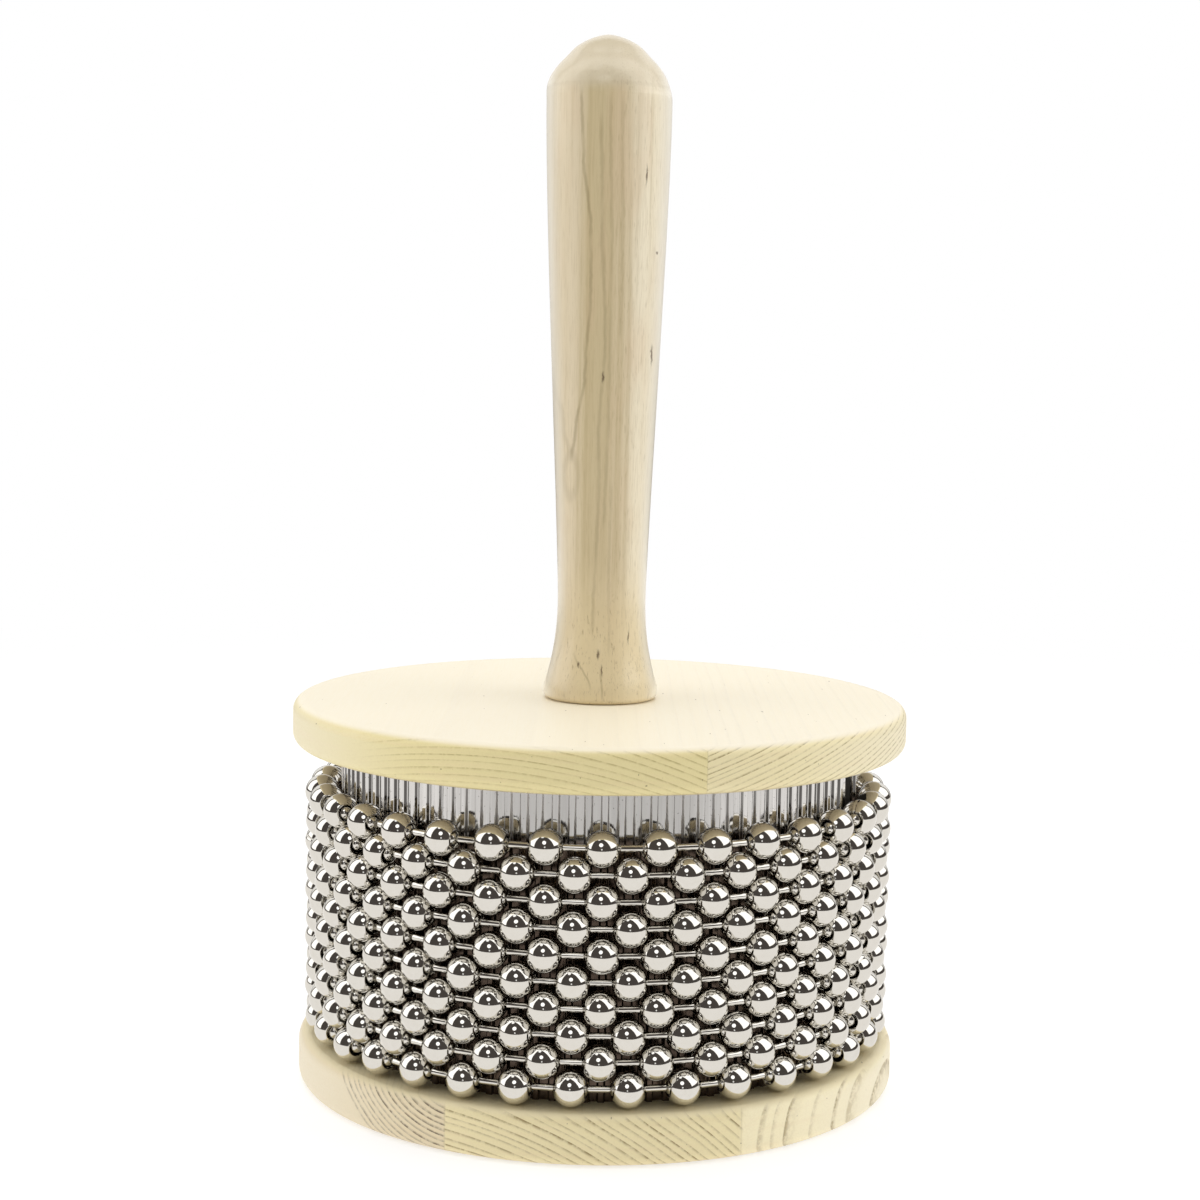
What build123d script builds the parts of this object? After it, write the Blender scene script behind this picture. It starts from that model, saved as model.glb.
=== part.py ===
"""Cabasa: ten loops of steel ball chain round a ribbed drum, between two wooden discs, on a turned handle.

Millimetres, +Z up. The origin is the centre of the underside that the instrument stands on, and the
front of the instrument faces -Y. Loop 1 is the lowest loop of beads.
"""

from math import cos, degrees, radians, sin, sqrt
import os

from build123d import *

# Ball chain
bead_diameter = 6.35
bead_wall = 0.3
bead_hole_diameter = 2.9
beads_per_loop = 34
loop_count = 10
loop_nesting = 1.77  # how far the beads of one loop sink between those of the next
first_bead_angle = -89.0  # a bead of the highest loop, measured from +X
link_rod_diameter = 1.2
link_head_lip = 0.2  # how much wider a link's head is than the bead's hole
link_play = 0.4  # how far a link can slide out of a bead before its head stops it

# Play of the beads on the drum
running_clearance = 0.3
axial_play = 6.15  # how far the highest loop can lift

# Ribbed sheet sleeve
sleeve_crest_radius = 48.2
sheet_thickness = 0.3
rib_depth = 0.7
rib_count = 103
rib_flank_share = 0.12  # of the pitch, taken by each sloping side of a rib
seam_angle = -14.6
seam_gap = 8.5
seam_margin = 2.6  # plain strip of sheet beside the seam
seat_clearance = 0.05

# Tacks beside the seam
tack_shank_diameter = 1.0
tack_length = 8.0
tack_head_diameter = 2.0
tack_head_height = 0.35
tack_rows = 2
tack_spacing = 26.0

# Wooden discs
top_disc_overhang = 2.25  # past the beads
top_disc_thickness = 8.0
bottom_disc_overhang = 1.05
bottom_disc_thickness = 8.8
disc_edge_round = 2.0
edge_round_limit = 0.45  # most of a disc's thickness that the rounding of one edge may take

# Handle
handle_length = 121.8
foot_diameter = 21.2
foot_edge_round = 1.1
foot_height = 2.4
waist_diameter = 16.4
waist_height = 18.0
swell_start = 12.0  # how far the outline runs on straight above the waist
swell_end = 22.0  # how far it runs on straight below the shoulder
shoulder_diameter = 23.0
dome_height = 12.1
dome_side = 7.2  # how far the dome's outline runs on straight above the shoulder
dome_crown = 2.3  # how far it runs level out from the axis
tenon_diameter = 12.0
tenon_in_core = 22.0

# Wood screws
screw_recess = 0.3  # how far the heads lie below the underside
screw_slot_width = 1.0
screw_slot_depth = 1.2
handle_screw_diameter = 5.0
handle_screw_head_diameter = 9.4
handle_screw_bite_length = 20.0  # length of the screw in the tenon
base_screw_diameter = 3.5
base_screw_head_diameter = 6.8
base_screw_bite_length = 20.0  # length of each screw in the core
base_screw_count = 3
base_screw_circle_radius = 30.0
screw_tip_length = 3.0
screw_tip_diameter = 0.8
hole_end_gap = 1.0  # air left past the end of a screw or a tenon

# Worked out from the values above
bead_radius = bead_diameter / 2
chain_radius = sleeve_crest_radius + running_clearance + bead_radius
bead_step_angle = 360 / beads_per_loop
bead_spacing = 2 * chain_radius * sin(radians(bead_step_angle / 2))
loop_pitch = bead_diameter - loop_nesting
drum_height = bead_diameter + (loop_count - 1) * loop_pitch + axial_play + 2 * running_clearance
drum_bottom = bottom_disc_thickness
drum_top = drum_bottom + drum_height
handle_foot = drum_top + top_disc_thickness
top_disc_radius = chain_radius + bead_radius + top_disc_overhang
bottom_disc_radius = chain_radius + bead_radius + bottom_disc_overhang
edge_round = min(disc_edge_round, edge_round_limit * min(top_disc_thickness, bottom_disc_thickness))
tenon_end = drum_top - tenon_in_core
tenon_radius = tenon_diameter / 2
sleeve_valley_radius = sleeve_crest_radius - rib_depth
core_radius = sleeve_valley_radius - sheet_thickness - seat_clearance
seam_half_angle = degrees(seam_gap / 2 / sleeve_valley_radius)
margin_angle = degrees(seam_margin / sleeve_valley_radius)
ribbed_angle = 360 - 2 * (seam_half_angle + margin_angle)
rib_pitch_angle = ribbed_angle / rib_count
margin_distance = sleeve_valley_radius * cos(radians(margin_angle / 2))
tack_angles = [
    seam_angle + side * (seam_half_angle + margin_angle / 2) for side in (-1, 1)
]
tack_heights = [
    drum_bottom + drum_height / 2 + (row - (tack_rows - 1) / 2) * tack_spacing
    for row in range(tack_rows)
]


def tack_planes():
    """The plane of each tack: its origin on the sheet, its Z axis pointing out of the drum."""
    planes = []
    for angle in tack_angles:
        outward = Vector(cos(radians(angle)), sin(radians(angle)), 0)
        for height in tack_heights:
            origin = outward * margin_distance + Vector(0, 0, height)
            planes.append(Plane(origin=origin, x_dir=(0, 0, 1), z_dir=outward))
    return planes


def base_plane():
    """The underside, facing down."""
    return Plane(origin=(0, 0, 0), x_dir=(1, 0, 0), z_dir=(0, 0, -1))


def polar_point(radius, angle):
    """A point of a sketch at this radius and this angle in degrees."""
    return (radius * cos(radians(angle)), radius * sin(radians(angle)))


def countersunk_screw(diameter, head_diameter, screw_end):
    """A slotted wood screw that points up to this height, with its flat head recessed in the underside."""
    head_top = screw_recess + (head_diameter - diameter) / 2
    with BuildPart() as screw:
        with BuildSketch(Plane.XZ):
            with BuildLine():
                Polyline(
                    (0, screw_recess),
                    (head_diameter / 2, screw_recess),
                    (diameter / 2, head_top),
                    (diameter / 2, screw_end - screw_tip_length),
                    (screw_tip_diameter / 2, screw_end),
                    (0, screw_end),
                    close=True,
                )
            make_face()
        revolve(axis=Axis.Z)
        with BuildSketch(Plane.XY.offset(screw_recess)):
            Rectangle(head_diameter, screw_slot_width)
        extrude(amount=screw_slot_depth, mode=Mode.SUBTRACT)
    return screw.part


def countersunk_hole(diameter, head_diameter, depth):
    """The hole for such a screw, cut from the underside at the present locations."""
    CounterSinkHole(
        radius=diameter / 2 + seat_clearance,
        counter_sink_radius=head_diameter / 2 + screw_recess + 2 * seat_clearance,
        depth=depth,
        counter_sink_angle=90,
    )


os.makedirs("parts", exist_ok=True)

handle_screw_end = tenon_end + handle_screw_bite_length
base_screw_end = drum_bottom + base_screw_bite_length

# Turned handle: tenon, rounded foot, waist, long swell to the shoulder, and a dome
shoulder_height = handle_foot + handle_length - dome_height
foot_radius = foot_diameter / 2
waist_point = (waist_diameter / 2, handle_foot + waist_height)
shoulder_point = (shoulder_diameter / 2, shoulder_height)
with BuildPart() as handle:
    with BuildSketch(Plane.XZ):
        with BuildLine():
            tenon_outline = Polyline(
                (0, tenon_end),
                (tenon_radius, tenon_end),
                (tenon_radius, handle_foot),
                (foot_radius - foot_edge_round, handle_foot),
            )
            foot_edge = RadiusArc(
                tenon_outline @ 1,
                (foot_radius, handle_foot + foot_edge_round),
                -foot_edge_round,
            )
            foot_side = Line(foot_edge @ 1, (foot_radius, handle_foot + foot_height))
            TangentArc(waist_point, foot_side @ 1, tangent=(0, -1))
            Bezier(
                waist_point,
                (waist_point[0], waist_point[1] + swell_start),
                (shoulder_point[0], shoulder_point[1] - swell_end),
                shoulder_point,
            )
            dome = Bezier(
                shoulder_point,
                (shoulder_point[0], shoulder_height + dome_side),
                (dome_crown, shoulder_height + dome_height),
                (0, shoulder_height + dome_height),
            )
            Line(dome @ 1, tenon_outline @ 0)
        make_face()
    revolve(axis=Axis.Z)
    with BuildSketch(Plane.XY.offset(tenon_end)):
        Circle(handle_screw_diameter / 2 + seat_clearance)
    extrude(amount=handle_screw_bite_length + hole_end_gap, mode=Mode.SUBTRACT)
handle.part.label = "handle"
export_step(handle.part, "parts/handle.step")

# Upper disc, bored for the tenon
with BuildPart() as top_disc:
    with BuildSketch(Plane.XY.offset(drum_top)):
        Circle(top_disc_radius)
    extrude(amount=top_disc_thickness)
    fillet(top_disc.edges().filter_by(GeomType.CIRCLE), edge_round)
    with BuildSketch(Plane.XY.offset(drum_top)):
        Circle(tenon_radius + seat_clearance)
    extrude(amount=top_disc_thickness, mode=Mode.SUBTRACT)
top_disc.part.label = "top_disc"
export_step(top_disc.part, "parts/top_disc.step")

# Lower disc, countersunk from below for its screws
with BuildPart() as bottom_disc:
    with BuildSketch(Plane.XY):
        Circle(bottom_disc_radius)
    extrude(amount=bottom_disc_thickness)
    fillet(bottom_disc.edges().filter_by(GeomType.CIRCLE), edge_round)
    with Locations(base_plane()):
        countersunk_hole(handle_screw_diameter, handle_screw_head_diameter, bottom_disc_thickness)
        with PolarLocations(base_screw_circle_radius, base_screw_count):
            countersunk_hole(base_screw_diameter, base_screw_head_diameter, bottom_disc_thickness)
bottom_disc.part.label = "bottom_disc"
export_step(bottom_disc.part, "parts/bottom_disc.step")

# Drum core, with the tenon's socket, the screws' holes and the tacks' holes
with BuildPart() as core:
    with BuildSketch(Plane.XY.offset(drum_bottom)):
        Circle(core_radius)
    extrude(amount=drum_height)
    with BuildSketch(Plane.XY.offset(tenon_end - hole_end_gap)):
        Circle(tenon_radius + seat_clearance)
    extrude(amount=tenon_in_core + hole_end_gap, mode=Mode.SUBTRACT)
    with BuildSketch(Plane.XY.offset(drum_bottom)):
        Circle(handle_screw_diameter / 2 + seat_clearance)
    extrude(amount=drum_height, mode=Mode.SUBTRACT)
    with BuildSketch(Plane.XY.offset(drum_bottom)):
        with PolarLocations(base_screw_circle_radius, base_screw_count):
            Circle(base_screw_diameter / 2 + seat_clearance)
    extrude(amount=base_screw_end - drum_bottom + hole_end_gap, mode=Mode.SUBTRACT)
    with Locations(*tack_planes()):
        Cylinder(
            tack_shank_diameter / 2 + seat_clearance,
            tack_length + hole_end_gap,
            align=(Align.CENTER, Align.CENTER, Align.MAX),
            mode=Mode.SUBTRACT,
        )
core.part.label = "core"
export_step(core.part, "parts/core.step")

# Ribbed sleeve: one bent strip of sheet, plain for a short margin at each end of the seam
rib_corners = [
    (0, sleeve_valley_radius),
    (rib_flank_share, sleeve_crest_radius),
    (0.5, sleeve_crest_radius),
    (0.5 + rib_flank_share, sleeve_valley_radius),
]
first_rib_angle = seam_angle + seam_half_angle + margin_angle
outline = [(sleeve_valley_radius, seam_angle + seam_half_angle)]
for rib in range(rib_count):
    for share, radius in rib_corners:
        outline.append((radius, first_rib_angle + (rib + share) * rib_pitch_angle))
outline.append((sleeve_valley_radius, first_rib_angle + ribbed_angle))
outline.append((sleeve_valley_radius, seam_angle - seam_half_angle + 360))
outer_side = [polar_point(radius, angle) for radius, angle in outline]
inner_side = [polar_point(radius - sheet_thickness, angle) for radius, angle in outline]
with BuildPart() as ribbed_sleeve:
    with BuildSketch(Plane.XY.offset(drum_bottom)):
        with BuildLine():
            Polyline(*outer_side, *reversed(inner_side), close=True)
        make_face()
    extrude(amount=drum_height)
    with Locations(*tack_planes()):
        Cylinder(
            tack_shank_diameter / 2 + seat_clearance,
            tack_length + tack_head_height,
            mode=Mode.SUBTRACT,
        )
ribbed_sleeve.part.label = "ribbed_sleeve"
export_step(ribbed_sleeve.part, "parts/ribbed_sleeve.step")

# Tacks through the plain margins of the sheet into the core
with BuildPart() as sleeve_tacks:
    with Locations(*tack_planes()):
        Cylinder(
            tack_head_diameter / 2,
            tack_head_height,
            align=(Align.CENTER, Align.CENTER, Align.MIN),
        )
        Cylinder(
            tack_shank_diameter / 2,
            tack_length,
            align=(Align.CENTER, Align.CENTER, Align.MAX),
        )
sleeve_tacks.part.label = "sleeve_tacks"
export_step(sleeve_tacks.part, "parts/sleeve_tacks.step")

# Long screw up the axis, through the lower disc and the core into the handle's tenon
with BuildPart() as handle_screw:
    add(countersunk_screw(handle_screw_diameter, handle_screw_head_diameter, handle_screw_end))
handle_screw.part.label = "handle_screw"
export_step(handle_screw.part, "parts/handle_screw.step")

# Screws that hold the lower disc to the core
with BuildPart() as base_screws:
    with PolarLocations(base_screw_circle_radius, base_screw_count):
        add(countersunk_screw(base_screw_diameter, base_screw_head_diameter, base_screw_end))
base_screws.part.label = "base_screws"
export_step(base_screws.part, "parts/base_screws.step")

# One hollow bead, with the chain running along Y through its two holes
with BuildPart() as bead:
    with BuildSketch(Plane.XY):
        Circle(bead_radius)
        Circle(bead_radius - bead_wall, mode=Mode.SUBTRACT)
        with Locations((bead_hole_diameter / 2, 0)):
            Rectangle(
                bead_diameter,
                bead_diameter,
                align=(Align.MIN, Align.CENTER),
                mode=Mode.INTERSECT,
            )
    revolve(axis=Axis.Y)

# One link: a rod between two beads, with a half-round head inside each that its hole can't pass
link_head_diameter = bead_hole_diameter + link_head_lip
hole_rim = sqrt((bead_radius - bead_wall) ** 2 - (bead_hole_diameter / 2) ** 2)
head_at_rim = hole_rim - sqrt(link_head_diameter**2 - bead_hole_diameter**2) / 2
link_head_place = bead_spacing / 2 - head_at_rim + link_play
with BuildPart() as link:
    with BuildSketch(Plane.XY):
        Rectangle(link_rod_diameter, 2 * link_head_place)
        with Locations((0, -link_head_place), (0, link_head_place)):
            Circle(link_head_diameter / 2)
        Rectangle(
            link_head_diameter,
            2 * link_head_place,
            align=(Align.MIN, Align.CENTER),
            mode=Mode.INTERSECT,
        )
    revolve(axis=Axis.Y)

# The loops, from the lowest up: every other loop is turned by half a bead's step
link_radius = chain_radius * cos(radians(bead_step_angle / 2))
for loop in range(1, loop_count + 1):
    loop_height = drum_bottom + running_clearance + bead_radius + (loop - 1) * loop_pitch
    loop_angle = first_bead_angle + (loop_count - loop) % 2 * bead_step_angle / 2
    loop_plane = Plane.XY.offset(loop_height)

    with BuildPart(loop_plane) as loop_beads:
        with PolarLocations(chain_radius, beads_per_loop, loop_angle):
            add(bead.part)
    loop_beads.part.label = f"loop_{loop:02d}_beads"
    export_step(loop_beads.part, f"parts/loop_{loop:02d}_beads.step")

    with BuildPart(loop_plane) as loop_links:
        with PolarLocations(link_radius, beads_per_loop, loop_angle + bead_step_angle / 2):
            add(link.part)
    loop_links.part.label = f"loop_{loop:02d}_links"
    export_step(loop_links.part, f"parts/loop_{loop:02d}_links.step")
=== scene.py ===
"""Looks of the cabasa: nickel ball chain, ribbed sheet steel, pine discs and a turned handle.

Metres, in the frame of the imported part: +Z up, the front faces -Y. Shader lengths are in millimetres.
"""

from math import asin, cos, pi, radians, sin, tau

import bpy
import numpy as np
from mathutils import Matrix, Vector


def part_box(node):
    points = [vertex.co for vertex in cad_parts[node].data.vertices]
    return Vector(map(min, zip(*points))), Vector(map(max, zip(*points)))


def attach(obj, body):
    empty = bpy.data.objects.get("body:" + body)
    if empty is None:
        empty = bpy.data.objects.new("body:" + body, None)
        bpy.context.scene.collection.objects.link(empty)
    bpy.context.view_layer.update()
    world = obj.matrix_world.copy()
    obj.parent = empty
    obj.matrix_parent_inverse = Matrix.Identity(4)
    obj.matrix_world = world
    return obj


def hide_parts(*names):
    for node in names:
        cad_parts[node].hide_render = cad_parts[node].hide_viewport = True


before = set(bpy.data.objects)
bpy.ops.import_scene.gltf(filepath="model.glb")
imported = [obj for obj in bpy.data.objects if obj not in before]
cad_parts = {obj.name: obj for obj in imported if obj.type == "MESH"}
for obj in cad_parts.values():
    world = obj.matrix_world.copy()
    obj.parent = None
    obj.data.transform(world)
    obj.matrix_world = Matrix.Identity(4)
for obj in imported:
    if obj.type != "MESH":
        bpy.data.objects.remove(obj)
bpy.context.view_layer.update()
MM = 0.001
SEED = 7

# Camera, from a fit to the bead rows, the disc rims and the outline in the photo
camera_place = Vector((0.0, -0.42924, 0.13643))
camera_yaw = -0.0007
camera_pitch = 0.10903
camera_roll = -0.01594
camera_sensor = 36.0
camera_lens = 69.35

# Ball chain
beads_per_loop = 34
loop_count = 10
bead_wall = 0.3 * MM
hole_radius = 1.45 * MM
seam_half_width = 0.06 * MM
seam_depth = 0.04 * MM
bead_shift = 0.12 * MM  # how far a bead may lie off its place in the row
bead_columns = 30
bead_rows = 18
bead_inner_rows = 6
seam_roll_spread = 1.0  # most seams lie towards the drum
bead_lean_spread = 0.05

# Small lamps above the camera that the beads show: turn to the right, lift above level, radius, strength
small_lamps = [
    (radians(-9), radians(36), radians(11.5), 1.6),
    (radians(-4), radians(9), radians(4.5), 1.0),
    (radians(-47), radians(69), radians(8), 1.3),
]

# Dark grain lines down the handle, in millimetres: the course is height and place to the right of the axis
handle_lines = [
    {"course": [(182, -5.0), (171, -4.5), (157, -3.0), (147, -2.8), (131, -3.7), (122, -5.2), (116, -5.9)],
     "half_width": 0.30, "tone": 0.36},
    {"course": [(132, -9.8), (122, -7.5), (116, -6.0)], "half_width": 0.45, "tone": 0.15},
    {"course": [(178, -1.3), (160, -1.0), (137, -0.1), (120, -1.1), (112, -0.8), (84, -1.6)],
     "half_width": 0.34, "tone": 0.24},
    {"course": [(181, 0.2), (154, 0.8), (127, 0.8), (104, 0.2)], "half_width": 0.32, "tone": 0.18},
    {"course": [(181, 2.4), (151, 2.7), (138, 2.7)], "half_width": 0.32, "tone": 0.16},
    {"course": [(112, 1.4), (96, 1.2), (80, 1.5)], "half_width": 0.30, "tone": 0.14},
    {"course": [(80.5, -4.8), (74, -1.8)], "half_width": 0.22, "tone": 0.34},
    {"course": [(78, 0.0), (72, 0.4)], "half_width": 0.22, "tone": 0.30},
]
# Small closed ring in the handle's grain: place to the right, height, half width, half height
handle_eye = (-5.96, 113.0, 1.3, 3.7)
# Short dark flecks on the handle's front: place to the right, height, half width, half length
handle_flecks = [
    (6.9, 167.2, 0.20, 2.1),
    (9.0, 153.5, 0.22, 0.35),
    (8.4, 135.1, 0.25, 2.0),
    (-0.4, 131.0, 0.28, 1.2),
    (5.0, 83.3, 0.16, 1.5),
    (-0.5, 80.3, 0.30, 1.1),
    (-4.1, 78.3, 0.28, 0.7),
    (0.2, 77.4, 0.20, 1.2),
]
# Heights on the handle in millimetres: where the dome's even tone begins and is full, which is painted top
# light; where the foot's tone begins and is full, from above; and the fine crease below the dome
handle_crown = (181.2, 184.6)
handle_foot = (100.0, 82.0)
handle_crease = 182.6

# Dome of the handle, sanded by hand: fuller than the solid's, rounder at its tip and a little to the left.
# Each has the height where the change begins, the height where it is full, and how much it is
dome_base = (180.8 * MM, 186.0 * MM, 0.03)  # a share of the radius
dome_tip = (188.5 * MM, 193.2 * MM, 0.26)  # a share of the radius
dome_lean = (180.8 * MM, 184.5 * MM, -0.27 * MM)
same_point_digits = 7  # of a metre: corners that agree so far are one point
handle_edge_angle = radians(30)

# Ribbed sheet
rib_count = 103
seam_angle = radians(-14.6)
seam_gap = 8.5 * MM
seam_margin = 2.6 * MM
sheet_thickness = 0.3 * MM
rib_depth = 0.7 * MM
sleeve_rows = 6
sleeve_edge_angle = radians(50)
rib_lift_spread = 0.06
rib_lean_spread = 0.035
rib_stretch_spread = 0.06
# One rib: place as a share of the pitch, and rise as a share of the depth
rib_profile = [
    (0.0, 0.0), (0.02, 0.0), (0.06, 0.14), (0.11, 0.86), (0.15, 1.0), (0.17, 1.0),
    (0.43, 1.0), (0.45, 1.0), (0.49, 0.86), (0.54, 0.14), (0.58, 0.0), (0.60, 0.0),
]
# Sloping sides of the ribs, as radii in millimetres: from just above the valleys to just below the crests
slope_from = (47.54, 47.60)
slope_to = (48.12, 48.04)
shade_behind_beads_height = (56.4, 54.6)  # millimetres; below this the sheet behind the beads is painted dark brown as shade, and made rougher

# Studio and table that the metal reflects
studio_dark = (0.074, 0.065, 0.060, 1)
studio_panel = (1.50, 1.48, 1.45, 1)
table_white = (0.96, 0.935, 0.905, 1)
table_reach = (900.0, 1000.0)  # millimetres
table_stretch = (1.1, 1.0, 1.0)

# Floor, and lamps that light the object but don't show in the metal
floor_half_size = 4.0
floor_drop = 0.05 * MM
floor_glow = 0.56
lamp_aim = Vector((0, 0, 0.09))
side_lamp_size = 0.7
side_lamp_power = 2.2
top_lamp_size = 0.8
top_lamp_power = 4.6


class Net:
    """Writes a shader tree: each call adds one node and gives its output."""

    def __init__(self, tree):
        self.tree = tree
        tree.nodes.clear()

    def feed(self, socket, value):
        if isinstance(value, bpy.types.NodeSocket):
            self.tree.links.new(value, socket)
        else:
            socket.default_value = value

    def node(self, kind, inputs=None, **settings):
        made = self.tree.nodes.new("ShaderNode" + kind)
        for key, value in settings.items():
            setattr(made, key, value)
        for key, value in (inputs or {}).items():
            self.feed(made.inputs[key], value)
        return made

    def math(self, operation, *values):
        made = self.node("Math", operation=operation)
        for socket, value in zip(made.inputs, values):
            self.feed(socket, value)
        return made.outputs[0]

    def plus(self, first, second):
        return self.math("ADD", first, second)

    def minus(self, first, second):
        return self.math("SUBTRACT", first, second)

    def times(self, first, second):
        return self.math("MULTIPLY", first, second)

    def divide(self, first, second):
        return self.math("DIVIDE", first, second)

    def absolute(self, value):
        return self.math("ABSOLUTE", value)

    def hypot(self, first, second):
        """Distance that is first one way and second across it."""
        return self.math("SQRT", self.plus(self.math("POWER", first, 2.0), self.math("POWER", second, 2.0)))

    def whole_chance(self, value):
        """A fixed random number, 0 to 1, for the whole part of the value."""
        whole = self.math("FLOOR", value)
        return self.node("TexWhiteNoise", {"W": whole}, noise_dimensions="1D").outputs["Value"]

    def step(self, value, low, high, to_low=0.0, to_high=1.0):
        """A smooth step from to_low at low up to to_high at high."""
        made = self.node("MapRange", interpolation_type="SMOOTHSTEP")
        for socket, given in zip(made.inputs, (value, low, high, to_low, to_high)):
            self.feed(socket, given)
        return made.outputs[0]

    def mix(self, share, first, second):
        made = self.node("Mix", data_type="RGBA")
        self.feed(made.inputs[0], share)
        self.feed(made.inputs[6], first)
        self.feed(made.inputs[7], second)
        return made.outputs[2]

    def noise(self, place, scale, detail=2.0, roughness=0.5):
        inputs = {"Vector": place, "Scale": scale, "Detail": detail, "Roughness": roughness}
        return self.node("TexNoise", inputs).outputs["Fac"]

    def split(self, vector):
        return self.node("SeparateXYZ", {0: vector}).outputs

    def join(self, x, y, z):
        return self.node("CombineXYZ", {0: x, 1: y, 2: z}).outputs[0]

    def place(self):
        """The point of the surface in the part's frame, in millimetres."""
        point = self.node("TexCoord").outputs["Object"]
        made = self.node("VectorMath", operation="SCALE")
        self.feed(made.inputs[0], point)
        made.inputs["Scale"].default_value = 1 / MM
        return made.outputs[0]

    def normal(self):
        return self.node("TexCoord").outputs["Normal"]

    def bump(self, height, distance, strength=1.0):
        inputs = {"Height": height, "Distance": distance, "Strength": strength}
        return self.node("Bump", inputs).outputs[0]

    def surface(self, **inputs):
        names = {key.replace("_", " "): value for key, value in inputs.items()}
        shader = self.node("BsdfPrincipled", names)
        self.output(shader.outputs[0])

    def output(self, shader):
        kind = "OutputWorld" if self.tree.id_data.id_type == "WORLD" else "OutputMaterial"
        self.node(kind, {"Surface": shader})


def srgb(red, green, blue):
    """A colour given as 0 to 255 screen values, as the shader wants it."""
    def linear(value):
        share = value / 255
        return share / 12.92 if share <= 0.04045 else ((share + 0.055) / 1.055) ** 2.4
    return (linear(red), linear(green), linear(blue), 1.0)


def new_material(name):
    material = bpy.data.materials.new(name)
    material.use_nodes = True
    return material, Net(material.node_tree)


def nickel(name):
    """Polished nickel plate, with fine wear and a trace of warmth."""
    material, net = new_material(name)
    place = net.place()
    # In the nickel this mask is only wear: a slow random change of tone
    wear_and_painted_light = net.noise(place, 0.9, 3.0, 0.6)
    fine = net.noise(place, 14.0, 3.0, 0.7)
    tint = net.mix(wear_and_painted_light, (0.80, 0.785, 0.745, 1), (0.74, 0.715, 0.66, 1))
    rough = net.step(fine, 0.35, 0.75, 0.035, 0.09)
    waves = net.noise(place, 0.55, 1.0)
    net.surface(
        Base_Color=tint, Metallic=1.0, Roughness=rough, Normal=net.bump(waves, 0.00005, 0.35)
    )
    return material


def rolled_steel(name):
    """Rolled sheet: draw lines and specks; painted reflection makes it dimmer at the front and brighter at
    the sides, painted shade darkens the rib sides away from the front, painted light pales those at the
    front, and painted shade darkens it behind the beads.
    """
    material, net = new_material(name)
    place = net.place()
    x, y, z = net.split(place)
    drawn = net.noise(net.join(x, y, net.times(z, 0.05)), 2.6, 3.0, 0.6)
    specks = net.noise(place, 2.1, 2.0, 0.5)
    dark = net.step(specks, 0.70, 0.74)
    # Painted reflection: dimmer tones for the front of the sheet, brighter ones for its left and right,
    # both with the draw lines
    painted_dim_front = net.mix(drawn, (0.57, 0.565, 0.56, 1), (0.47, 0.465, 0.455, 1))
    painted_bright_sides = net.mix(drawn, (0.92, 0.91, 0.90, 1), (0.62, 0.61, 0.60, 1))
    radius = net.hypot(x, y)
    slope = net.times(net.step(radius, *slope_from), net.step(radius, *slope_to))
    front = net.step(net.absolute(x), 34.0, 14.0)
    # Painted shade: the sloping rib sides away from the front are coloured near black
    flank = net.times(slope, net.times(net.minus(1.0, front), 0.92))
    # Painted light: the sloping rib sides at the front are coloured pale and made rougher, so they show no
    # dark lines
    wear_and_painted_light = net.times(slope, front)
    painted_dim_front = net.mix(wear_and_painted_light, painted_dim_front, (0.86, 0.85, 0.84, 1))
    tint = net.mix(net.step(net.absolute(x), 12.0, 32.0), painted_dim_front, painted_bright_sides)
    turn = net.times(net.math("ARCTAN2", y, x), 2 * rib_count / tau)
    facet = net.whole_chance(turn)
    tint = net.mix(net.times(facet, 0.18), tint, (0.25, 0.245, 0.24, 1))
    tint = net.mix(flank, tint, (0.07, 0.066, 0.062, 1))
    tint = net.mix(dark, tint, (0.12, 0.11, 0.10, 1))
    # Painted shade: below the top of the beads the sheet is coloured dark brown, with a ragged upper edge,
    # and is rougher
    patch = net.times(net.noise(place, 0.35, 2.0), 3.0)
    painted_shade_behind_beads = net.step(net.plus(z, patch), *shade_behind_beads_height)
    tint = net.mix(painted_shade_behind_beads, tint, (0.115, 0.086, 0.068, 1))
    rough = net.plus(net.step(drawn, 0.3, 0.7, 0.03, 0.08), net.times(painted_shade_behind_beads, 0.20))
    rough = net.plus(rough, net.times(wear_and_painted_light, 0.45))
    net.surface(Base_Color=tint, Metallic=1.0, Roughness=rough, Normal=net.bump(drawn, 0.00004, 0.4))
    return material


def plain_metal(name, colour, roughness):
    """Screws and tacks: plated steel with small stains."""
    material, net = new_material(name)
    place = net.place()
    stain = net.noise(place, 1.4, 4.0, 0.65)
    darker = tuple(0.6 * value for value in colour[:3]) + (1.0,)
    tint = net.mix(net.step(stain, 0.4, 0.7), colour, darker)
    rough = net.step(stain, 0.3, 0.7, roughness, 1.6 * roughness)
    net.surface(Base_Color=tint, Metallic=1.0, Roughness=rough)
    return material


def black_wood(name):
    """The core, matt and near black, with a faint fibre."""
    material, net = new_material(name)
    place = net.place()
    x, y, z = net.split(place)
    fibre = net.noise(net.join(x, y, net.times(z, 0.08)), 2.2, 3.0, 0.6)
    tint = net.mix(fibre, (0.006, 0.006, 0.006, 1), (0.022, 0.019, 0.016, 1))
    net.surface(
        Base_Color=tint, Roughness=0.75, Specular_IOR_Level=0.1, Normal=net.bump(fibre, 0.0001, 0.5)
    )
    return material


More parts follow.
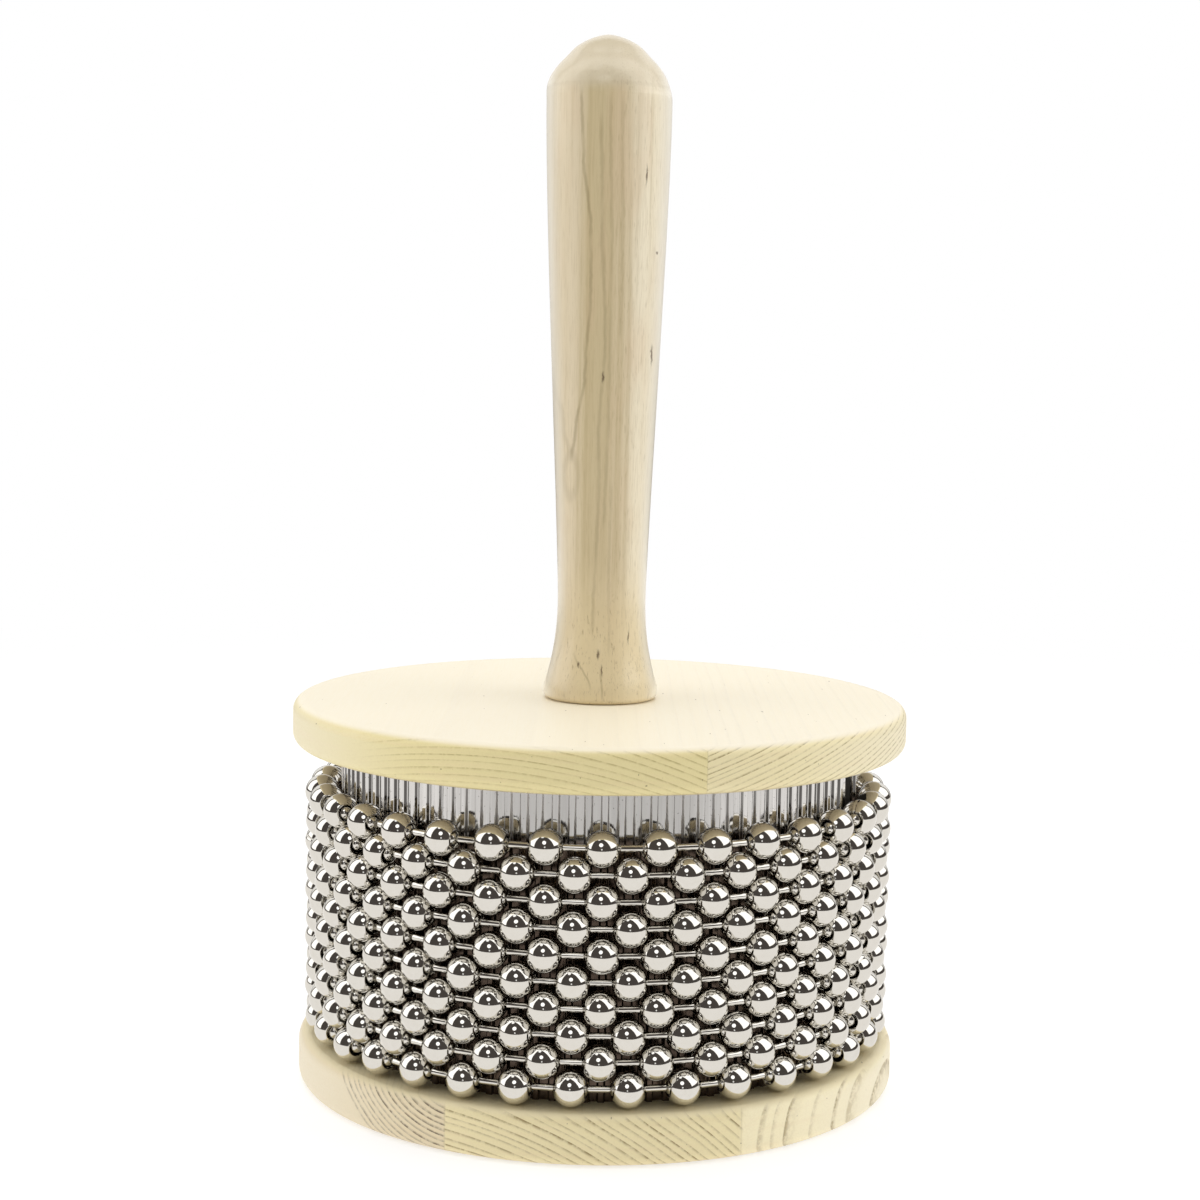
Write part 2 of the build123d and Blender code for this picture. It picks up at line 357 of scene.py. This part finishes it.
def rings(net, place, board, seed):
    """Darkness of a board's ring lines, 0 to 1: thin lines round an axis that runs along the fibre."""
    x, y, z = net.split(place)
    drift = net.times(net.plus(y, 50.0), board["slant"])
    slow = net.join(net.times(x, 0.05), net.times(y, 0.015), seed)
    wander = net.times(net.minus(net.noise(slow, 1.0, 1.0), 0.5), 1.6)
    along, height = board["centre"]
    across = net.plus(net.minus(net.minus(x, along), drift), wander)
    up = net.minus(z, height)
    distance = net.hypot(across, up)
    uneven = net.noise(net.join(net.times(distance, 0.3), seed, 0.0), 1.0, 1.0)
    ring = net.plus(net.divide(distance, board["spacing"]), net.times(uneven, 1.5))
    share = net.math("FRACT", ring)
    rise = net.math("POWER", net.step(share, 0.40, 0.93), board["thinness"])
    line = net.times(rise, net.step(share, 1.0, 0.95))
    which = net.whole_chance(ring)
    line = net.times(line, net.step(which, 0.0, 1.0, 0.45, 1.0))
    broken = net.noise(place, 0.9, 2.0, 0.7)
    line = net.times(line, net.step(broken, 0.36, 0.60, 0.35, 1.0))
    line = net.times(line, net.step(x, board["lines_from"] - 8, board["lines_from"] + 8))
    return net.times(line, net.step(distance, board["lines_end"], board["lines_end"] - 1.5))


def pine(name, boards, face, seed):
    """A disc glued up from pine boards, fibre near Y: end grain to the front, long grain at the sides."""
    material, net = new_material(name)
    place = net.place()
    x, y, z = net.split(place)
    colour = None
    for number, board in enumerate(boards):
        line = rings(net, place, board, seed + 3.1 * number)
        tone = net.mix(net.times(line, board["strength"]), board["early"], board["late"])
        if number == 0:
            colour = tone
            lines = line
            continue
        start = boards[number - 1]["right_end"]
        beyond = net.step(x, start - board["blend"], start + board["blend"])
        colour = net.mix(beyond, colour, tone)
        lines = net.plus(net.times(lines, net.minus(1.0, beyond)), net.times(line, beyond))
        joint = net.step(net.absolute(net.minus(x, start)), 0.16, 0.04, 0.0, 0.12)
        colour = net.mix(joint, colour, board["late"])
    fibre = net.noise(net.join(x, net.times(y, 0.035), z), 3.2, 4.0, 0.62)
    colour = net.mix(net.step(fibre, 0.40, 0.78, 0.0, 0.14), colour, srgb(196, 172, 118))
    cloud = net.noise(net.join(net.times(x, 0.06), net.times(y, 0.02), z), 1.0, 2.0)
    colour = net.mix(net.step(cloud, 0.45, 0.80, 0.0, 0.25), colour, srgb(236, 212, 172))
    turn_x, _, turn_z = net.split(net.normal())
    # Painted sheen: where the rim faces left or right, towards the side lamps, it is coloured paler, less
    # so on the ring lines
    side = net.step(net.absolute(turn_x), 0.50, 0.95, 0.0, 0.5)
    side = net.times(side, net.minus(1.0, lines))
    colour = net.mix(side, colour, srgb(236, 227, 205))
    # Painted sheen and top light: faces that look up take one pale tone over most of their grain
    flat = net.step(turn_z, 0.55, 0.98)
    colour = net.mix(net.times(flat, 0.92), colour, face)
    # Painted shade: faces that look down are coloured darker brown
    under = net.step(turn_z, -0.80, -0.985, 0.0, 0.85)
    colour = net.mix(under, colour, srgb(206, 189, 157))
    pores = net.noise(net.join(x, net.times(y, 0.3), z), 1.5, 1.0)
    colour = net.mix(net.step(pores, 0.775, 0.81, 0.0, 0.6), colour, srgb(112, 86, 52))
    height = net.plus(net.times(fibre, 0.6), net.times(lines, -0.5))
    rough = net.step(fibre, 0.3, 0.8, 0.38, 0.54)
    net.surface(Base_Color=colour, Roughness=rough, Normal=net.bump(height, 0.0001, 0.5))
    return material


def turned_wood(name):
    """The handle: pale close wood, fibre along Z, with thin dark lines and flecks; painted shade makes a
    darker stripe down its middle, and painted light makes it paler to the right, on its left and right
    sides and on the dome.
    """
    material, net = new_material(name)
    place = net.place()
    x, y, z = net.split(place)
    slow = net.join(net.times(x, 0.1), 0.0, net.times(z, 0.05))
    wander = net.times(net.minus(net.noise(slow, 1.0, 2.0), 0.5), 0.7)
    across = net.plus(x, wander)
    # Painted shade and light: soft bands across the handle, darkest a little left of the middle and palest
    # at the right
    colour = net.mix(net.step(across, -6.2, -2.8), srgb(220, 204, 173), srgb(207, 189, 148))
    colour = net.mix(net.step(across, 0.2, 2.0), colour, srgb(215, 197, 160))
    colour = net.mix(net.step(across, 2.2, 6.2), colour, srgb(238, 226, 199))
    band = net.noise(net.join(across, 0.0, net.times(z, 0.006)), 0.8, 2.0, 0.6)
    colour = net.mix(net.step(band, 0.45, 0.70, 0.0, 0.35), colour, srgb(184, 164, 120))
    fibre = net.noise(net.join(x, y, net.times(z, 0.03)), 3.4, 4.0, 0.65)
    colour = net.mix(net.step(fibre, 0.45, 0.75, 0.0, 0.30), colour, srgb(170, 148, 104))
    cloud = net.noise(net.join(x, y, net.times(z, 0.25)), 0.16, 2.0)
    colour = net.mix(net.step(cloud, 0.50, 0.72, 0.0, 0.28), colour, srgb(214, 186, 150))
    # Painted top light: the dome takes an even, paler tone
    crown = net.step(z, *handle_crown)
    foot = net.step(z, *handle_foot)
    colour = net.mix(net.times(crown, 0.8), colour, srgb(214, 201, 174))
    foot_tone = net.mix(net.step(across, -7.0, -3.0), srgb(219, 201, 163), srgb(237, 219, 178))
    colour = net.mix(net.times(foot, 0.75), colour, foot_tone)
    dashes = net.noise(net.join(x, y, net.times(z, 0.10)), 4.0, 2.0)
    more_right = net.step(across, -1.0, 3.0, 0.4, 1.0)
    dashes = net.times(net.step(dashes, 0.56, 0.72, 0.0, 0.22), more_right)
    colour = net.mix(dashes, colour, srgb(150, 128, 84))
    waver = net.times(net.minus(net.noise(place, 0.5, 2.0), 0.5), 0.5)
    line_tone = srgb(120, 102, 60)
    for number, grain in enumerate(handle_lines):
        course = grain["course"]
        at = course[0][1]
        for (high, right), (low, next_right) in zip(course, course[1:]):
            at = net.plus(at, net.step(z, high, low, 0.0, next_right - right))
        away = net.absolute(net.plus(net.minus(x, at), waver))
        line = net.step(away, 1.5 * grain["half_width"], 0.2 * grain["half_width"])
        upper_end = net.step(z, course[0][0] + 1, course[0][0] - 2)
        lower_end = net.step(z, course[-1][0] - 1, course[-1][0] + 2)
        ends = net.times(upper_end, lower_end)
        seen = net.noise(net.join(5.0 * number, 3.0, net.times(z, 0.12)), 1.0, 2.0)
        line = net.times(net.times(line, ends), net.step(seen, 0.3, 0.55, 0.45, 1.0))
        colour = net.mix(net.times(line, grain["tone"]), colour, line_tone)
    eye_right, eye_height, half_width, half_height = handle_eye
    aside = net.divide(net.minus(x, eye_right), half_width)
    above = net.divide(net.minus(z, eye_height), half_height)
    away = net.hypot(aside, above)
    eye = net.step(net.absolute(net.minus(away, 1.0)), 0.55, 0.05, 0.0, 0.16)
    colour = net.mix(eye, colour, line_tone)
    torn = net.noise(net.join(x, y, net.times(z, 0.22)), 2.2, 4.0, 0.7)
    torn = net.times(net.step(torn, 0.56, 0.70, 0.0, 0.50), foot)
    colour = net.mix(torn, colour, srgb(150, 124, 82))
    # Painted sheen: where the handle faces left or right it is coloured nearly white
    turn_x = net.split(net.normal())[0]
    side = net.step(net.absolute(turn_x), 0.72, 1.0, 0.0, 0.55)
    colour = net.mix(side, colour, srgb(247, 243, 232))
    front = net.step(y, 0.5, -0.5)
    torn_edge = net.noise(place, 1.3, 2.0, 0.6)
    ragged = net.times(net.minus(torn_edge, 0.5), 0.6)
    for fleck_right, fleck_height, half_width, half_length in handle_flecks:
        aside = net.divide(net.plus(net.minus(x, fleck_right), ragged), half_width)
        above = net.divide(net.minus(z, fleck_height), half_length)
        away = net.hypot(aside, above)
        fleck = net.times(net.step(away, 1.2, 0.2, 0.0, 0.80), front)
        colour = net.mix(fleck, colour, srgb(84, 58, 32))
    rough = net.step(fibre, 0.3, 0.8, 0.34, 0.46)
    crease = net.step(net.absolute(net.minus(z, handle_crease)), 1.1, 0.2, 0.0, 3.0)
    height = net.minus(net.plus(fibre, net.times(torn, -2.0)), crease)
    net.surface(
        Base_Color=colour, Roughness=rough, Coat_Weight=0.7, Coat_Roughness=0.16,
        Normal=net.bump(height, 0.00008, 0.45),
    )
    return material


def mesh_object(name, points, faces, material):
    """A smooth-shaded mesh with one material."""
    mesh = bpy.data.meshes.new(name)
    mesh.from_pydata(points, [], faces)
    mesh.validate()
    mesh.polygons.foreach_set("use_smooth", [True] * len(mesh.polygons))
    mesh.materials.append(material)
    made = bpy.data.objects.new(name, mesh)
    bpy.context.scene.collection.objects.link(made)
    return made


def loop_places(node):
    """Middle radius of the chain, radius of a bead, height of the loop and angle of its first bead."""
    points = np.array([vertex.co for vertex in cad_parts[node].data.vertices])
    radii = np.hypot(points[:, 0], points[:, 1])
    angles = np.arctan2(points[:, 1], points[:, 0])
    first = np.angle(np.exp(1j * beads_per_loop * angles).mean()) / beads_per_loop
    low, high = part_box(node)
    return (radii.max() + radii.min()) / 2, (high.z - low.z) / 2, (low.z + high.z) / 2, first


def bead_mesh(radius):
    """Points and faces of one hollow bead round X, with a fine seam groove from hole to hole."""
    outline = []
    hole_outside = asin(hole_radius / radius)
    for row in range(bead_rows + 1):
        turn = hole_outside + (pi - 2 * hole_outside) * row / bead_rows
        outline.append((radius * cos(turn), radius * sin(turn)))
    inner = radius - bead_wall
    hole_inside = asin(hole_radius / inner)
    for row in range(bead_inner_rows + 1):
        turn = pi - hole_inside - (pi - 2 * hole_inside) * row / bead_inner_rows
        outline.append((inner * cos(turn), inner * sin(turn)))
    half = seam_half_width / radius
    columns = [(-half, 0.0), (-half / 3, seam_depth), (half / 3, seam_depth), (half, 0.0)]
    for column in range(1, bead_columns):
        columns.append((half + (tau - 2 * half) * column / bead_columns, 0.0))
    points = []
    for row, (along, out) in enumerate(outline):
        for turn, depth in columns:
            sunk = out - (depth if row <= bead_rows else 0.0)
            points.append((along, sunk * cos(turn), sunk * sin(turn)))
    width = len(columns)
    faces = []
    rows = len(outline)
    for row in range(rows):
        below = (row + 1) % rows
        for column in range(width):
            beside = (column + 1) % width
            faces.append(
                (row * width + column, row * width + beside, below * width + beside, below * width + column)
            )
    return np.array(points), np.array(faces)


def make_loop(number, bead_finish, link_finish, chance):
    """One closed loop: its beads as a new mesh, and the finish of its links."""
    beads_node = f"loop_{number:02d}_beads"
    links_node = f"loop_{number:02d}_links"
    chain_radius, bead_radius, height, first = loop_places(beads_node)
    bead_points, bead_faces = bead_mesh(bead_radius)
    points = []
    faces = []
    for bead in range(beads_per_loop):
        angle = first + tau * bead / beads_per_loop
        roll = chance.normal(0, seam_roll_spread)
        lean = chance.normal(0, bead_lean_spread, 2)
        shift = chance.uniform(-bead_shift, bead_shift, 2)
        place = Matrix.Translation(
            (
                chain_radius * cos(angle) - shift[0] * sin(angle),
                chain_radius * sin(angle) + shift[0] * cos(angle),
                height + shift[1],
            )
        )
        turn = Matrix.Rotation(angle + pi / 2 + lean[0], 4, "Z") @ Matrix.Rotation(lean[1], 4, "Y")
        matrix = np.array(place @ turn @ Matrix.Rotation(roll, 4, "X"))
        points.append(bead_points @ matrix[:3, :3].T + matrix[:3, 3])
        faces.append(bead_faces + bead * len(bead_points))
    points = np.concatenate(points)
    faces = np.concatenate(faces)
    beads = mesh_object(f"beads_{number:02d}", points.tolist(), faces.tolist(), bead_finish)
    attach(beads, f"loop_{number:02d}")
    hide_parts(beads_node)
    finish_node(links_node, link_finish)


def make_sleeve(material, chance):
    """The ribbed sheet, bent round the core, with rounded and slightly uneven ribs."""
    low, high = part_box("ribbed_sleeve")
    crest = (high.x - low.x) / 2
    valley = crest - rib_depth
    half_gap = seam_gap / 2 / valley
    margin = seam_margin / valley
    pitch = (tau - 2 * (half_gap + margin)) / rib_count
    start = seam_angle + half_gap
    columns = [(start, 0.0, 0.0), (start + margin * 0.5, 0.0, 0.0)]
    for rib in range(rib_count):
        lift = 1 - abs(chance.normal(0, rib_lift_spread))
        lean = chance.normal(0, rib_lean_spread) * pitch
        stretch = 1 + chance.normal(0, rib_stretch_spread)
        for share, rise in rib_profile:
            columns.append((start + margin + (rib + share * stretch) * pitch, rise * lift, lean))
    columns.append((start + margin + rib_count * pitch, 0.0, 0.0))
    columns.append((start + 2 * margin + rib_count * pitch, 0.0, 0.0))
    rows = sleeve_rows
    points = []
    for side in (0.0, sheet_thickness):
        for row in range(rows + 1):
            share = row / rows
            for angle, rise, lean in columns:
                radius = valley + rib_depth * rise - side
                turn = angle + lean * (share - 0.5)
                points.append((radius * cos(turn), radius * sin(turn), low.z + (high.z - low.z) * share))
    width = len(columns)
    inside = width * (rows + 1)
    faces = []
    for row in range(rows):
        for column in range(width - 1):
            corner = row * width + column
            quad = (corner, corner + 1, corner + width + 1, corner + width)
            faces.append(quad)
            faces.append(tuple(inside + index for index in reversed(quad)))
        for column, flip in ((0, True), (width - 1, False)):
            corner = row * width + column
            quad = (corner, corner + width, inside + corner + width, inside + corner)
            faces.append(tuple(reversed(quad)) if flip else quad)
    for row, flip in ((0, False), (rows, True)):
        for column in range(width - 1):
            corner = row * width + column
            quad = (corner, inside + corner, inside + corner + 1, corner + 1)
            faces.append(tuple(reversed(quad)) if flip else quad)
    sleeve = mesh_object("sleeve", points, faces, material)
    edges = sleeve.modifiers.new("edges", "EDGE_SPLIT")
    edges.split_angle = sleeve_edge_angle
    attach(sleeve, "drum")
    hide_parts("ribbed_sleeve")


def eased(heights, low, high, full):
    """0 below low, rising smoothly to full at high."""
    share = np.clip((heights - low) / (high - low), 0, 1)
    return full * share * share * (3 - 2 * share)


def make_handle(material):
    """The turned handle: the solid's own surface, with the dome sanded rounder."""
    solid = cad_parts["handle"].data
    corners = np.array([vertex.co for vertex in solid.vertices])
    points, index = np.unique(np.round(corners, same_point_digits), axis=0, return_inverse=True)
    index = index.reshape(-1)
    heights = points[:, 2]
    points[:, :2] *= (1 + eased(heights, *dome_base) + eased(heights, *dome_tip))[:, None]
    points[:, 0] += eased(heights, *dome_lean)
    faces = [[int(index[corner]) for corner in face.vertices] for face in solid.polygons]
    handle = mesh_object("turned_handle", points.tolist(), faces, material)
    handle.data.set_sharp_from_angle(angle=handle_edge_angle)
    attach(handle, "drum")
    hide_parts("handle")


def finish_node(node, material):
    """Gives a solid its material, and leaves its shape."""
    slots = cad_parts[node].data.materials
    slots.clear()
    slots.append(material)


def make_world():
    """White for the camera, soft grey for the light it sheds, and a studio for the metal to reflect."""
    world = bpy.data.worlds.new("studio")
    bpy.context.scene.world = world
    world.use_nodes = True
    net = Net(world.node_tree)
    ray = net.node("LightPath").outputs
    direction = net.node("TexCoord").outputs["Generated"]
    x, y, z = net.split(direction)
    azimuth = net.math("ARCTAN2", net.absolute(x), net.times(y, -1.0))
    right_edge = net.plus(net.times(x, -0.62), net.times(z, -0.26))
    left_edge = net.times(x, 0.32)
    inside = net.minus(net.math("MINIMUM", right_edge, left_edge), y)
    panel = net.step(inside, 0.012, -0.012)
    above = net.minus(z, net.times(x, 0.08))
    panel = net.times(panel, net.step(above, 0.12, 0.14))
    panel = net.times(panel, net.step(azimuth, radians(120), radians(117)))
    behind = net.times(net.step(azimuth, radians(126), radians(129)), net.step(z, 0.75, 0.70))
    studio = net.mix(panel, studio_dark, studio_panel)
    backdrop = net.mix(net.step(z, 0.146, 0.158), (0.55, 0.54, 0.52, 1), (0.95, 0.94, 0.92, 1))
    studio = net.mix(behind, studio, backdrop)
    for turn, lift, radius, strength in small_lamps:
        aim = (sin(turn) * cos(lift), -cos(turn) * cos(lift), sin(lift))
        near = net.node("VectorMath", {0: direction, 1: aim}, operation="DOT_PRODUCT").outputs["Value"]
        spot = net.step(near, cos(radius * 1.06), cos(radius * 0.94))
        studio = net.mix(spot, studio, (strength, strength, strength, 1))
    colour = net.mix(ray["Is Glossy Ray"], (0.45, 0.45, 0.45, 1), studio)
    colour = net.mix(ray["Is Camera Ray"], colour, (1, 1, 1, 1))
    net.output(net.node("Background", {"Color": colour}).outputs[0])


def make_floor():
    """White floor that keeps a faint shadow; from below it lets the eye through."""
    half = floor_half_size
    corners = [(-half, -half, 0), (half, -half, 0), (half, half, 0), (-half, half, 0)]
    material, net = new_material("floor_white")
    bounced = net.node("BsdfDiffuse", {"Color": (0.55, 0.55, 0.55, 1)}).outputs[0]
    glow = net.node("Emission", {"Color": (1.0, 1.0, 1.0, 1), "Strength": floor_glow}).outputs[0]
    near = net.node("AddShader", {0: bounced, 1: glow}).outputs[0]
    far = net.node("Emission").outputs[0]
    away = net.node("VectorMath", {0: net.place()}, operation="LENGTH").outputs["Value"]
    white = net.node("MixShader", {0: net.step(away, 250.0, 700.0), 1: near, 2: far}).outputs[0]
    ray = net.node("LightPath").outputs
    table = net.node("VectorMath", {0: net.place(), 1: table_stretch}, operation="MULTIPLY").outputs[0]
    reach = net.node("VectorMath", {0: table}, operation="LENGTH").outputs["Value"]
    table_tone = net.mix(net.step(reach, *table_reach), table_white, studio_dark)
    mirrored = net.node("Emission", {"Color": table_tone}).outputs[0]
    white = net.node("MixShader", {0: ray["Is Glossy Ray"], 1: white, 2: mirrored}).outputs[0]
    clear = net.node("BsdfTransparent").outputs[0]
    below = net.node("NewGeometry").outputs["Backfacing"]
    net.output(net.node("MixShader", {0: below, 1: white, 2: clear}).outputs[0])
    floor = mesh_object("floor", corners, [(0, 1, 2, 3)], material)
    floor.location.z = -floor_drop


def make_lamp(name, place, size, power):
    """A square lamp aimed at the object, which neither the camera nor the metal sees."""
    data = bpy.data.lights.new(name, "AREA")
    data.shape = "RECTANGLE"
    data.size = size
    data.size_y = size
    data.energy = power
    lamp = bpy.data.objects.new(name, data)
    lamp.location = place
    lamp.rotation_euler = (lamp_aim - Vector(place)).to_track_quat("-Z", "Y").to_euler()
    lamp.visible_camera = False
    lamp.visible_glossy = False
    bpy.context.scene.collection.objects.link(lamp)


def make_camera():
    """The camera of the photo."""
    data = bpy.data.cameras.new("camera")
    data.sensor_width = camera_sensor
    data.lens = camera_lens
    forward = Vector(
        (sin(camera_yaw) * cos(camera_pitch), cos(camera_yaw) * cos(camera_pitch), -sin(camera_pitch))
    )
    level = Vector((cos(camera_yaw), -sin(camera_yaw), 0))
    down = forward.cross(level)
    right = cos(camera_roll) * level + sin(camera_roll) * down
    up = sin(camera_roll) * level - cos(camera_roll) * down
    camera = bpy.data.objects.new("camera", data)
    axes = Matrix((right, up, -forward)).transposed().to_4x4()
    camera.matrix_world = Matrix.Translation(camera_place) @ axes
    bpy.context.scene.collection.objects.link(camera)
    bpy.context.scene.camera = camera


chance = np.random.default_rng(SEED)
bead_finish = nickel("bead_nickel")
link_finish = nickel("link_nickel")
for number in range(1, loop_count + 1):
    make_loop(number, bead_finish, link_finish, chance)
make_sleeve(rolled_steel("sheet_steel"), chance)

# Boards of each disc from left to right, in millimetres: right end, centre of the rings (place to the right
# and height), slant of the fibre, ring spacing, radius where the lines end, thinness of a line, softness of
# the joint, place where the lines begin, tones of the early and the late wood, and strength of the lines
top_boards = [
    {
        "right_end": 17.9, "centre": (-19.2, -11.4), "slant": 0.0, "spacing": 1.15, "lines_end": 200.0,
        "thinness": 3.0, "blend": 0.06, "lines_from": -36.0,
        "early": srgb(232, 218, 163), "late": srgb(158, 138, 78), "strength": 0.66,
    },
    {
        "right_end": 60.0, "centre": (-71.6, 317.8), "slant": 0.0, "spacing": 0.90, "lines_end": 400.0,
        "thinness": 2.6, "blend": 0.06, "lines_from": -100.0,
        "early": srgb(235, 222, 177), "late": srgb(140, 118, 66), "strength": 0.85,
    },
]
bottom_boards = [
    {
        "right_end": -25.2, "centre": (-23.2, 19.2), "slant": 0.0, "spacing": 0.95, "lines_end": 24.6,
        "thinness": 1.0, "blend": 0.06, "lines_from": -100.0,
        "early": srgb(233, 217, 183), "late": srgb(66, 42, 20), "strength": 1.0,
    },
    {
        "right_end": 25.1, "centre": (-30.8, -49.6), "slant": 0.0, "spacing": 1.2, "lines_end": 200.0,
        "thinness": 1.9, "blend": 0.30, "lines_from": -100.0,
        "early": srgb(241, 227, 181), "late": srgb(136, 112, 62), "strength": 0.95,
    },
    {
        "right_end": 60.0, "centre": (79.5, -1.4), "slant": 0.33, "spacing": 2.5, "lines_end": 200.0,
        "thinness": 3.0, "blend": 0.50, "lines_from": -100.0,
        "early": srgb(250, 238, 200), "late": srgb(140, 116, 74), "strength": 0.75,
    },
]
# Tones of the discs' upward faces, painted pale as sheen and top light
top_face = srgb(246, 237, 216)
bottom_face = srgb(242, 228, 188)
top_seed = 2.0
bottom_seed = 9.0
finish_node("top_disc", pine("pine_top", top_boards, top_face, top_seed))
finish_node("bottom_disc", pine("pine_bottom", bottom_boards, bottom_face, bottom_seed))
make_handle(turned_wood("handle_wood"))
finish_node("core", black_wood("core_wood"))
finish_node("sleeve_tacks", plain_metal("tack_steel", (0.52, 0.51, 0.5, 1), 0.25))
screw_finish = plain_metal("screw_steel", (0.62, 0.58, 0.48, 1), 0.28)
finish_node("handle_screw", screw_finish)
finish_node("base_screws", screw_finish)

make_world()
make_floor()
make_lamp("left_lamp", (-0.75, -0.05, 0.35), side_lamp_size, side_lamp_power)
make_lamp("right_lamp", (0.75, -0.05, 0.35), side_lamp_size, side_lamp_power)
make_lamp("top_lamp", (0, 0.1, 0.9), top_lamp_size, top_lamp_power)
make_camera()
bpy.context.scene.view_settings.view_transform = "Standard"
